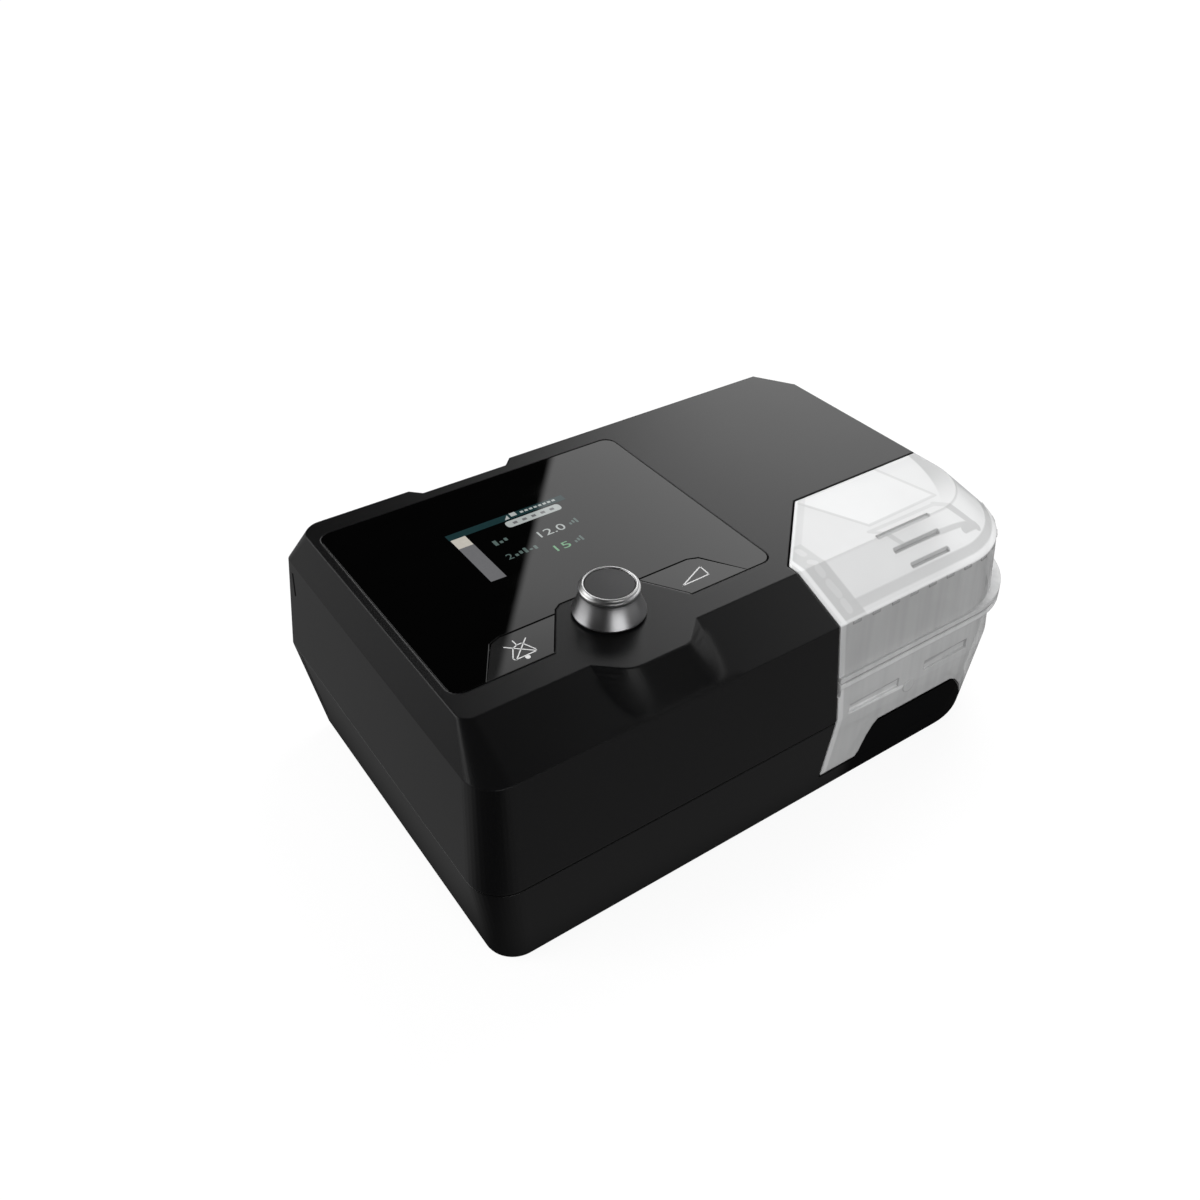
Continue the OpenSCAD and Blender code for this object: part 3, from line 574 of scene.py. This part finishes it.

# %% [markdown]
# Broad tones come first, and they are painted light and shade: a light grey top and a front slope, each with the
# grey its light gives it, a painted highlight that makes the slope brighter towards the right, a painted shade on
# the round shoulder along the right edge, and a painted highlight across the window. The dark lines are the
# outlines of the window and the pocket, and the groove just above the crease.

# %% Broad tones and dark lines
def broad_tone(g, x, y, on_slope, window):
    # Painted shade on the round shoulder, painted highlight on the right of the slope and across the window.
    from_middle = ((x - 164.3) * (x - 164.3) + (y - 50.0) * (y - 50.0)).power(0.5)
    shoulder_shade = from_middle.step(72.5, 73.5) * y.step(0.0, 26.0)
    tone = g.mix(on_slope, grey(TOP), grey(FACET))
    tone = g.mix(shoulder_shade * 0.85, tone, grey(SHOULDER_SHADE))
    tone = g.mix(x.step(196.0, 222.0) * on_slope * (1 - shoulder_shade), tone, grey(SLOPE_HIGHLIGHT))
    return g.mix(window, tone, g.mix(x.step(186, 220), grey(WINDOW_HIGHLIGHT), grey(TOP)))


def dark_lines(x, y, z):
    lines = outline_mask(x, y, WINDOW, 0.75) * 0.75
    lines = lines.highest(outline_mask(x, y, POCKET, 0.9) * 0.7)
    lines = lines.highest(line_mask(x, y, *POCKET_SIDE, 1.5) * 0.7)
    lines = lines.highest(line_mask(x, y, *POCKET_END, 1.5) * 0.7)
    groove = band_mask(z, -13.2, -10.6) * x.step(154.0, 158.0)
    return lines.highest(groove * 0.75)


print("broad tones and lines ready")

# %% [markdown]
# Over these lie the rim along the slanting rear left edge, three dark finger grips in the pocket, the strip of
# cells, and last the edges that catch the light.

# %% Tones of the lid's top
def lid_top_tone(g, x, y, z):
    edge = from_left_edge(x, z)
    slanting = (x - 135.4 - y) / 1.414
    on_slope = 1 - z.step(-0.9, -0.1)
    window = panel_mask(x, y, WINDOW)
    lines = dark_lines(x, y, z)
    rim = band_mask(slanting, 1.4, 3.9) * (1 - on_slope)
    grips = strongest([line_mask(x, y, start, end, 0.95) for start, end in GRIPS])
    right_side = 153.4 + (1.0 - y).highest(0.0) * 0.29
    strip = edge.step(3.2, 3.8) * (1 - (x - right_side).step(-0.5, 0.5)) * (1 - y.step(12.6, 13.6))
    cells = strongest([line_mask(x, y, start, end, 1.5) for start, end in CELLS])
    light = strongest([band_mask(edge, 1.5, 3.2), band_mask(slanting, 0.2, 1.0),
                       band_mask(z, -15.2, -14.3, 0.25) * 0.6])
    tone = broad_tone(g, x, y, on_slope, window)
    for mask, value in ((rim * 0.55, RIM), (lines, LINE), (grips * 0.8, GRIP), (strip * 0.9, LINE),
                        (cells * 0.8, CELL), (light * 0.9, EDGE_LIGHT)):
        tone = g.mix(mask, tone, grey(value))
    return tone, window, lines


print("lid tones ready")

# %% [markdown]
# Below the crease both lid and tub are an even grey, with a painted highlight as a lighter strip along the left
# side and along the rims of the seam. The tub's front carries a groove and a slot, with a painted shadow along
# their tops and a painted highlight on the groove's lower lip.

# %% Tones of the walls
# Lines in x and height: painted shadow along the tops of the groove and the slot, and a painted highlight on the lip.
GROOVE_TOP_SHADOW = ((157.0, -57.7), (181.0, -56.6))
SLOT_TOP_SHADOW = ((197.0, -55.6), (219.5, -54.8))
LIP_HIGHLIGHT = ((155.5, -60.2), (184.0, -61.6))


def wall_tone(g, x, y, z, level):
    # Painted highlights along the left side and the rims of the seam; painted shadow in the groove and the slot, and a
    # painted highlight on the lip.
    strip = 1 - from_left_edge(x, z).step(2.2, 3.2)
    rim_highlights = band_mask(z, -46.0, -39.8, 0.3) * (1 - band_mask(z, -43.4, -42.0, 0.2))
    groove = line_mask(x, z, *GROOVE_TOP_SHADOW, 0.7) + line_mask(x, z, *SLOT_TOP_SHADOW, 0.9)
    lip_highlight = line_mask(x, z, *LIP_HIGHLIGHT, 0.9) * (1 - y.step(-18.0, -17.0))
    tone = g.mix(strip.highest(rim_highlights) * 0.7, grey(level), grey(level * 1.45))
    tone = g.mix(groove * 0.6, tone, grey(level * 0.5))
    return g.mix(lip_highlight * 0.8, tone, grey(level * 1.5))


print("wall tones ready")

# %% [markdown]
# The plastic itself is glossy and a third clear. Upright flow marks darken its walls a little, and the lid's top
# is milkier than its walls, most of all in the window.

# %% Clear plastic
def clear_plastic(name, wall_level, has_top=False):
    material, g = new_finish(name)
    x, y, z = g.deck_place()
    drift = g.noise(g.position(), 38.0, 2.0)
    flow = g.noise(g.stretched((260, 260, 10)), 1.0, 1.0)
    tone = g.mix(flow.step(0.3, 0.75) * 0.20, wall_tone(g, x, y, z, wall_level), grey(wall_level * 0.6))
    alpha = 0.64 + (drift - 0.5) * 0.08
    height = drift * 0.02
    if has_top:
        on_top = z.step(-15.6, -15.2)
        top, window, lines = lid_top_tone(g, x, y, z)
        tone = g.mix(on_top, tone, top)
        alpha = alpha + on_top * (0.16 + window * 0.04)
        height = height + lines * on_top
    g.surface(g.principled({
        "Base Color": tone,
        "Alpha": alpha,
        "Roughness": 0.18 + drift * 0.08,
        "Normal": g.bump(height, 0.4, 0.2 * MM, g.rounded(0.8 * MM)),
    }))
    return material


lid_plastic = clear_plastic("lid_plastic", 0.60, has_top=True)
tub_plastic = clear_plastic("tub_plastic", 0.70)
# The teeth get a darker grey than the lid: painted shade under the crease.
tooth_plastic_painted_shade = clear_plastic("tooth_plastic_painted_shade", 0.46)
print("lid's material has", len(lid_plastic.node_tree.nodes), "nodes")

# %% [markdown]
# Every solid now gets its finish. A solid that is seen through the tank or in the notch at the rear counts as well.

# %% Finishes on the solids
FINISHES = {
    case_plastic: ["upper_shell", "filter_cover"],
    base_plastic: ["base_shell"],
    inner_plastic: ["display_module", "left_carrier", "right_carrier", "card_socket", "power_inlet", "supply_duct",
                    "return_duct", "encoder_body", "encoder_plunger", "knob_collar"],
    port_plastic: ["outlet_port"],
    pale_plastic: ["blower_volute", "volute_cover", "impeller"],
    card_plastic: ["memory_card"],
    black_glass: ["screen_glass"],
    key_glass: ["left_button", "right_button"],
    skirt_metal: ["knob_skirt"],
    disc_metal: ["knob_disc"],
    steel: ["knob_shaft", "rotor_shaft", "case_screws", "left_switch", "right_switch"],
    plate_metal: ["heater_plate", "tank_plate"],
    motor_paint: ["blower_motor"],
    circuit_board: ["main_board", "control_board"],
    fibre_mat: ["inlet_filter"],
    foam: ["acoustic_foam"],
    rubber: ["rubber_feet", "motor_mounts", "dock_seals", "heater_pad"],
    seal_rubber: ["tank_seal"],
    lid_plastic: ["tank_lid"],
    tub_plastic: ["tank_tub"],
}
for material, nodes in FINISHES.items():
    for node in nodes:
        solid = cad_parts[node]
        for slot in solid.material_slots:
            slot.material = material
        if not solid.material_slots:
            solid.data.materials.append(material)
print("finished", sum(len(nodes) for nodes in FINISHES.values()), "of", len(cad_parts))

# %% [markdown]
# Small teeth hang from the crease of the lid, all the way round its front. Anything that repeats along a path is
# best left to Geometry Nodes: the tree spaces points evenly along a line, turns a small block to follow it at each
# point, and makes the result real. The same tree sets the rows of small marks on the screen.

# %% The tree for a row
def row_tree():
    tree = bpy.data.node_groups.new("row_of_blocks", "GeometryNodeTree")
    for name, kind in (("Path", "NodeSocketGeometry"), ("Count", "NodeSocketInt"), ("Block", "NodeSocketVector"),
                       ("Finish", "NodeSocketMaterial")):
        tree.interface.new_socket(name, in_out="INPUT", socket_type=kind)
    tree.interface.new_socket("Row", in_out="OUTPUT", socket_type="NodeSocketGeometry")
    wires = Graph(tree)
    path, count, block, finish = wires.node("NodeGroupInput")[:4]
    curve = wires.node("GeometryNodeMeshToCurve", None, {"Mesh": path})[0]
    spaced = wires.node("GeometryNodeResampleCurve", {"mode": "COUNT"}, {"Curve": curve, "Count": count})[0]
    tangent = wires.node("GeometryNodeInputTangent")[0]
    turn = wires.node("FunctionNodeAlignRotationToVector", {"axis": "X", "pivot_axis": "Z"}, {"Vector": tangent})[0]
    cube = wires.node("GeometryNodeMeshCube", None, {"Size": block})[0]
    placed = wires.node("GeometryNodeInstanceOnPoints", None, {"Points": spaced, "Instance": cube, "Rotation": turn})[0]
    real = wires.node("GeometryNodeRealizeInstances", None, {"Geometry": placed})[0]
    dressed = wires.node("GeometryNodeSetMaterial", None, {"Geometry": real, "Material": finish})[0]
    wires.node("NodeGroupOutput", None, {"Row": dressed})
    return tree


ROW_TREE = row_tree()
print("row tree has", len(ROW_TREE.nodes), "nodes")

# %% [markdown]
# The tree's sizes are named inputs, set by identifier before the result is read. What stays is a plain mesh on an
# object of its own, which rides on the body it belongs to.

# %% A row of blocks
def add_piece(name, mesh, body):
    """An object for a finished mesh, which rides on a body."""
    mesh.name = name
    piece = bpy.data.objects.new(name, mesh)
    scene.collection.objects.link(piece)
    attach(piece, body)
    print(name, "has", len(mesh.polygons), "faces")


def row_of_blocks(name, path, count, block, material, body):
    """Blocks of a size in millimetres, evenly spaced along a path of points in the shared frame."""
    line = bpy.data.meshes.new(name + "_path")
    line.from_pydata(path, [(i, i + 1) for i in range(len(path) - 1)], [])
    carrier = bpy.data.objects.new(name + "_carrier", line)
    scene.collection.objects.link(carrier)
    modifier = carrier.modifiers.new("row", "NODES")
    modifier.node_group = ROW_TREE
    sockets = {item.name: item.identifier for item in ROW_TREE.interface.items_tree if item.in_out == "INPUT"}
    modifier[sockets["Count"]] = count
    modifier[sockets["Block"]] = [side * MM for side in block]
    modifier[sockets["Finish"]] = material
    mesh = bpy.data.meshes.new_from_object(carrier.evaluated_get(bpy.context.evaluated_depsgraph_get()))
    bpy.data.objects.remove(carrier)
    add_piece(name, mesh, body)


# %% [markdown]
# The teeth have to sit on the lid's wall, which is straight in front and round at the right corner. Rays shot at the
# lid from outside find that wall: straight back along the front, then turning about the corner's own centre.

# %% Teeth under the crease
CREASE_HEIGHT = -15.9
TOOTH_PITCH, TOOTH_SIZE = 9.6, (4.0, 0.6, 1.3)
CORNER_X, CORNER_Y, REACH = 212, 8, 70
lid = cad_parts["tank_lid"].data
lid_surface = BVHTree.FromPolygons([v.co for v in lid.vertices], [p.vertices for p in lid.polygons])


def on_lid(x, y, toward):
    """Where a ray at the teeth's height meets the lid."""
    return lid_surface.ray_cast(Vector(on_deck(x, y, CREASE_HEIGHT)), Vector(toward))[0]


crease_path = [on_lid(x, -60, (0, 1, 0)) for x in range(154, 213, 4)]
for angle in range(278, 359, 8):
    out_x, out_y = math.cos(math.radians(angle)), math.sin(math.radians(angle))
    crease_path.append(on_lid(CORNER_X + REACH * out_x, CORNER_Y + REACH * out_y, (-out_x, -out_y, 0)))
crease_path = [point for point in crease_path if point]
crease_length = sum((b - a).length for a, b in zip(crease_path, crease_path[1:])) / MM
row_of_blocks("lid_teeth", crease_path, round(crease_length / TOOTH_PITCH) + 1, TOOTH_SIZE, tooth_plastic_painted_shade, "lid")
print("crease", round(crease_length, 1), "mm")

# %% [markdown]
# The screen's picture and the signs on the keys are printed on the back of the glass. They are made as plates a
# hair thick on its face, with the same polish, so the mirrored panel runs across them as it does across the glass.

# %% Printed plates
FACE_LOW, FACE_HIGH = 0.004, 0.020          # millimetres above the glass


def plate_piece(name, outlines, material, body, lift=0.0):
    """A piece made of flat prisms, one for each outline in deck millimetres."""
    mesh = bpy.data.meshes.new(name)
    solid = bmesh.new()
    for outline in outlines:
        area = sum(a[0] * b[1] - b[0] * a[1] for a, b in zip(outline, outline[1:] + outline[:1]))
        ring = outline if area > 0 else outline[::-1]
        lower = [solid.verts.new(on_deck(x, y, FACE_LOW)) for x, y in ring]
        upper = [solid.verts.new(on_deck(x, y, FACE_HIGH + lift)) for x, y in ring]
        solid.faces.new(upper)
        solid.faces.new(lower[::-1])
        for i in range(len(ring)):
            j = (i + 1) % len(ring)
            solid.faces.new((lower[i], lower[j], upper[j], upper[i]))
    solid.to_mesh(mesh)
    solid.free()
    mesh.materials.append(material)
    add_piece(name, mesh, body)


print("plates are", round(FACE_HIGH - FACE_LOW, 3), "mm thick")

# %% [markdown]
# Everything drawn on the glass is one of three outlines: a straight stroke, a bar with round corners, or a disc.

# %% Outlines to draw with
def stroke(start, end, width):
    """A straight stroke with square ends that reach a little past its two points."""
    ux, uy = heading(start, end)[1:]
    nx, ny = -uy * width / 2, ux * width / 2
    ex, ey = ux * width * 0.35, uy * width * 0.35
    return [(start[0] + nx - ex, start[1] + ny - ey), (start[0] - nx - ex, start[1] - ny - ey),
            (end[0] - nx + ex, end[1] - ny + ey), (end[0] + nx + ex, end[1] + ny + ey)]


def rounded_bar(x0, y0, x1, y1, radius, steps=6):
    ring = []
    for cx, cy, start in ((x1 - radius, y1 - radius, 0), (x0 + radius, y1 - radius, 90),
                          (x0 + radius, y0 + radius, 180), (x1 - radius, y0 + radius, 270)):
        for i in range(steps + 1):
            angle = math.radians(start + 90 * i / steps)
            ring.append((cx + radius * math.cos(angle), cy + radius * math.sin(angle)))
    return ring


def disc(cx, cy, radius, steps=20):
    return [(cx + radius * math.cos(2 * math.pi * i / steps), cy + radius * math.sin(2 * math.pi * i / steps))
            for i in range(steps)]


print("stroke, bar and disc ready")

# %% [markdown]
# A lit pixel and a printed white line differ: the first glows a little, the second only reflects. Both lie under
# the same polish. A fine noise stands for the screen's uneven pixels.

# %% Screen and print finishes
def screen_ink(name, colour, glow):
    material, g = new_finish(name)
    pixels = g.noise(g.position(), 700.0, 1.0)
    shade = g.mix(pixels, scaled(colour, 0.86), colour)
    g.surface(g.principled({
        "Base Color": (0.004, 0.004, 0.005, 1) if glow else shade,
        "Roughness": 0.02 + pixels * 0.01,
        "Emission Color": shade,
        "Emission Strength": glow,
    }))
    return material


print_white = screen_ink("print_white", (0.62, 0.62, 0.62), 0.0)
glow_white = screen_ink("glow_white", (0.42, 0.45, 0.44), 1.0)
glow_pale = screen_ink("glow_pale", (0.55, 0.52, 0.46), 1.0)
glow_grey = screen_ink("glow_grey", (0.15, 0.15, 0.155), 1.0)
glow_teal = screen_ink("glow_teal", (0.006, 0.028, 0.030), 1.0)
glow_green = screen_ink("glow_green", (0.16, 0.36, 0.20), 1.0)
glow_dim = screen_ink("glow_dim", (0.09, 0.13, 0.12), 1.0)
print("screen and print finishes made")

# %% [markdown]
# The picture is generic: a dark header bar with a few marks, a white pill, a level bar, and two plain numbers.
# Marks that lie on a bar are a few thousandths of a millimetre higher, so that no two upper faces share a plane.

# %% Screen picture
MARKS = [[(68.6, 89.4), (70.8, 89.4), (70.8, 92.0)], [(72.0, 90.2), (74.6, 90.2), (74.6, 92.6), (72.0, 92.6)]]
plate_piece("screen_header", [[(43.8, 88.8), (96.5, 89.0), (96.5, 92.6), (43.8, 92.6)]], glow_teal, "housing")
plate_piece("screen_marks", MARKS, glow_white, "housing", 0.004)
plate_piece("screen_pill", [rounded_bar(67.2, 83.9, 92.0, 88.2, 1.6)], glow_white, "housing", 0.002)
plate_piece("screen_level_top", [[(44.2, 82.2), (50.5, 82.2), (50.5, 88.8), (44.2, 88.8)]], glow_pale, "housing",
            0.002)
plate_piece("screen_level", [[(44.2, 58.0), (50.6, 57.8), (50.6, 82.2), (44.2, 82.2)]], glow_grey, "housing")
row_of_blocks("screen_header_row", [on_deck(77.1, 91.0, 0.014), on_deck(91.8, 91.0, 0.014)], 8, (1.4, 1.2, 0.02),
              glow_white, "housing")
row_of_blocks("screen_pill_row", [on_deck(71.2, 86.0, 0.016), on_deck(88.0, 86.0, 0.016)], 5, (1.9, 1.5, 0.02),
              glow_grey, "housing")

# %% [markdown]
# Words are only hinted at, by rows of small bars of changing height.

# %% Rows in place of words
def short_marks(x, y, count, pitch):
    """A row of small bars that stands for a word without being one."""
    return [rounded_bar(x + i * pitch, y + 0.5 * (i % 2), x + i * pitch + pitch * 0.62, y + 1.5 + 0.9 * (i % 3), 0.3, 2)
            for i in range(count)]


plate_piece("screen_words", short_marks(59.4, 76.8, 2, 2.2) + short_marks(60.0, 66.3, 5, 2.1), glow_dim, "housing")
plate_piece("screen_units", short_marks(88.2, 72.6, 3, 1.5) + short_marks(83.4, 61.4, 3, 1.5), glow_dim, "housing",
            0.002)

# %% [markdown]
# The numbers come from Blender's built-in font. A text object is made a mesh, stretched to the field it has to
# fill, and pulled down to give it the thickness of the other plates. Pulling faces out leaves them in an order that
# changes from run to run, so they are sorted at the end.

# %% Plain numbers
def digits(text):
    """The flat mesh of a text in the built-in font."""
    curve = bpy.data.curves.new("digits", "FONT")
    curve.body = text
    holder = bpy.data.objects.new("digits", curve)
    scene.collection.objects.link(holder)
    mesh = bpy.data.meshes.new_from_object(holder.evaluated_get(bpy.context.evaluated_depsgraph_get()))
    bpy.data.objects.remove(holder)
    return mesh


IN_ORDER = Vector((1.0, 3.7, 0.41))         # a slanting direction along which no two points lie level


def number_piece(name, text, x, y, width, height, material):
    """Plain digits laid on the glass in a field of that width and height."""
    mesh = digits(text)
    solid = bmesh.new()
    solid.from_mesh(mesh)
    bmesh.ops.remove_doubles(solid, verts=solid.verts, dist=1e-5)
    left, low = min(v.co.x for v in solid.verts), min(v.co.y for v in solid.verts)
    wide, high = max(v.co.x for v in solid.verts) - left, max(v.co.y for v in solid.verts) - low
    for vert in solid.verts:
        field_x = x + (vert.co.x - left) * width / wide
        field_y = y + (vert.co.y - low) * height / high
        vert.co = Vector(on_deck(field_x, field_y, FACE_HIGH))
    made = bmesh.ops.extrude_face_region(solid, geom=solid.faces[:])
    for element in made["geom"]:
        if isinstance(element, bmesh.types.BMVert):
            element.co.z -= (FACE_HIGH - FACE_LOW) * MM
    bmesh.ops.recalc_face_normals(solid, faces=solid.faces[:])
    solid.verts.sort(key=lambda vert: vert.co.dot(IN_ORDER))
    solid.faces.sort(key=lambda face: face.calc_center_median().dot(IN_ORDER))
    solid.to_mesh(mesh)
    solid.free()
    mesh.materials.clear()
    mesh.materials.append(material)
    add_piece(name, mesh, "housing")


number_piece("screen_value_upper", "12.0", 74.2, 71.5, 11.6, 4.1, glow_white)
number_piece("screen_value_lower", "15", 74.6, 60.5, 6.5, 3.9, glow_green)
number_piece("screen_label_upper", "1", 57.0, 76.4, 1.5, 3.4, glow_dim)
number_piece("screen_label_lower", "2", 56.6, 66.0, 2.4, 3.4, glow_dim)

# %% [markdown]
# The left key carries a crossed-out bell and the right key a rising ramp, both drawn with plain strokes.

# %% Key signs
BELL = [(33.6, 22.6), (35.6, 22.6), (38.0, 17.2), (37.6, 16.4), (29.2, 16.2), (29.0, 17.2), (31.6, 21.7), (33.6, 22.6)]
BELL_CROSS = [((29.4, 23.9), (37.6, 16.6)), ((38.0, 24.1), (29.6, 16.0))]
BELL_STEM = ((33.5, 25.2), (33.6, 22.8))
RAMP = [(100.4, 17.4), (112.8, 23.1), (112.6, 17.6), (100.4, 17.4)]
BELL_WIDTH, RAMP_WIDTH = 0.42, 0.5

bell_lines = [*zip(BELL, BELL[1:]), *BELL_CROSS, BELL_STEM]
bell_strokes = [stroke(start, end, BELL_WIDTH) for start, end in bell_lines]
plate_piece("bell_sign", bell_strokes + [disc(33.6, 15.3, 0.95)], print_white, "left_key")
ramp_strokes = [stroke(start, end, RAMP_WIDTH) for start, end in zip(RAMP, RAMP[1:])]
plate_piece("ramp_sign", ramp_strokes, print_white, "right_key")

# %% [markdown]
# Last, the scene's view layer is brought up to date.

# %% Bring the scene up to date
bpy.context.view_layer.update()
